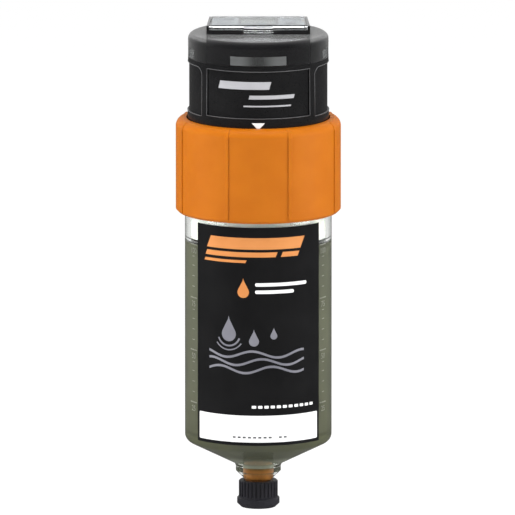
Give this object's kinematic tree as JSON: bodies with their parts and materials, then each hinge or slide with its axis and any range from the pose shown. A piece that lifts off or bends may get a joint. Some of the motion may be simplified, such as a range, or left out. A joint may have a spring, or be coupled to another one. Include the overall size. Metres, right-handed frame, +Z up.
{
  "type": "automatic grease lubricator",
  "caption": "Battery-driven grease lubricator: clear canister with screw-fed piston and capped outlet, bayonet ring, black drive with display lid.",
  "frame": {"origin": "centre of the outlet cap's underside, on the canister's axis", "axes": "+Z up along the canister's axis from outlet to drive, -Y towards the label and the display's front, +X to the right seen from the front"},
  "size_m": [0.076, 0.076, 0.2265],
  "materials": {
    "clear_plastic": "gloss",
    "label_print": "satin",
    "gasket_rubber": "matte",
    "grease": "gloss",
    "cap_plastic": "satin",
    "white_plastic": "satin",
    "spindle_plastic": "satin",
    "gear_plastic": "satin",
    "brass": "polished",
    "steel": "satin",
    "frame_plastic": "matte",
    "housing_plastic": "satin",
    "ring_plastic": "satin",
    "cell_casing": "satin",
    "cover_plastic": "matte",
    "bezel_plastic": "gloss",
    "guide_plastic": "gloss",
    "panel_plastic": "satin",
    "display_glass": "gloss",
    "board": "satin",
    "lamp": "gloss",
    "switch_plastic": "matte",
    "button_plastic": "satin",
    "lid_plastic": "gloss"
  },
  "bodies": {
    "lubricator": {"canister": "clear_plastic", "canister_label": "label_print", "canister_gasket": "gasket_rubber", "grease_charge": "grease", "first_gear_axle": "steel", "second_gear_axle": "steel", "output_bush": "brass", "drive_base": "frame_plastic", "gear_top_plate": "frame_plastic", "gear_plate_screws": "steel", "drive_motor": "steel", "drive_housing": "housing_plastic", "battery_cell_back": "cell_casing", "battery_cell_right": "cell_casing", "battery_cell_left": "cell_casing", "battery_tray": "frame_plastic", "battery_contacts": "brass", "circuit_board": "board", "board_screws": "steel", "status_leds": "lamp", "lcd_module": "display_glass", "set_switch": "switch_plastic", "top_cover": "cover_plastic", "light_guide": "guide_plastic", "lid_pin": "steel", "display_bezel": "bezel_plastic", "display_panel": "panel_plastic"},
    "lid": {"clear_lid": "lid_plastic"},
    "button": {"set_button": "button_plastic"},
    "spindle": {"output_gear": "gear_plastic", "drive_spindle": "spindle_plastic"},
    "piston": {"piston": "white_plastic", "piston_seal": "gasket_rubber"},
    "second_stage": {"second_gear": "gear_plastic"},
    "first_stage": {"first_gear": "gear_plastic"},
    "rotor": {"motor_shaft": "steel", "motor_pinion": "brass"},
    "ring": {"retaining_ring": "ring_plastic"},
    "cap": {"outlet_plug": "cap_plastic"}
  },
  "joints": [
    {"name": "lid_hinge", "type": "hinge", "parent": "lubricator", "child": "lid", "pos_m": [0, 0.0159, 0.225], "axis": [-1, 0, 0], "range_deg": [0, 110]},
    {"name": "button_press", "type": "slide", "parent": "lubricator", "child": "button", "axis": [0, 0, -1], "range_m": [0, 0.0004], "stiffness_N_per_m": 400},
    {"name": "spindle_turn", "type": "hinge", "parent": "lubricator", "child": "spindle", "pos_m": [0, 0, 0.1], "axis": [0, 0, 1], "range_deg": [0, 10800]},
    {"name": "piston_feed", "type": "slide", "parent": "lubricator", "child": "piston", "axis": [0, 0, -1], "range_m": [0, 0.09], "deforming": ["grease_charge"]},
    {"name": "second_gear_turn", "type": "hinge", "parent": "lubricator", "child": "second_stage", "pos_m": [0.009, -0.01072, 0.155], "axis": [0, 0, 1], "continuous": true},
    {"name": "first_gear_turn", "type": "hinge", "parent": "lubricator", "child": "first_stage", "pos_m": [-0.00109, -0.01362, 0.16], "axis": [0, 0, 1], "continuous": true},
    {"name": "motor_turn", "type": "hinge", "parent": "lubricator", "child": "rotor", "pos_m": [-0.01099, -0.01712, 0.166], "axis": [0, 0, 1], "continuous": true},
    {"name": "ring_twist", "type": "hinge", "parent": "lubricator", "child": "ring", "pos_m": [0, 0, 0.16], "axis": [0, 0, 1], "range_deg": [0, 45]},
    {"name": "cap_pull", "type": "slide", "parent": "lubricator", "child": "cap", "axis": [0, 0, -1], "range_m": [0, 0.014]}
  ],
  "couplings": [
    {"joint": "spindle_turn", "follows": "piston_feed", "rad_per_m": 2094.4},
    {"joint": "second_gear_turn", "follows": "piston_feed", "rad_per_m": -7679.4},
    {"joint": "first_gear_turn", "follows": "piston_feed", "rad_per_m": 24574},
    {"joint": "motor_turn", "follows": "piston_feed", "rad_per_m": -78638}
  ]
}
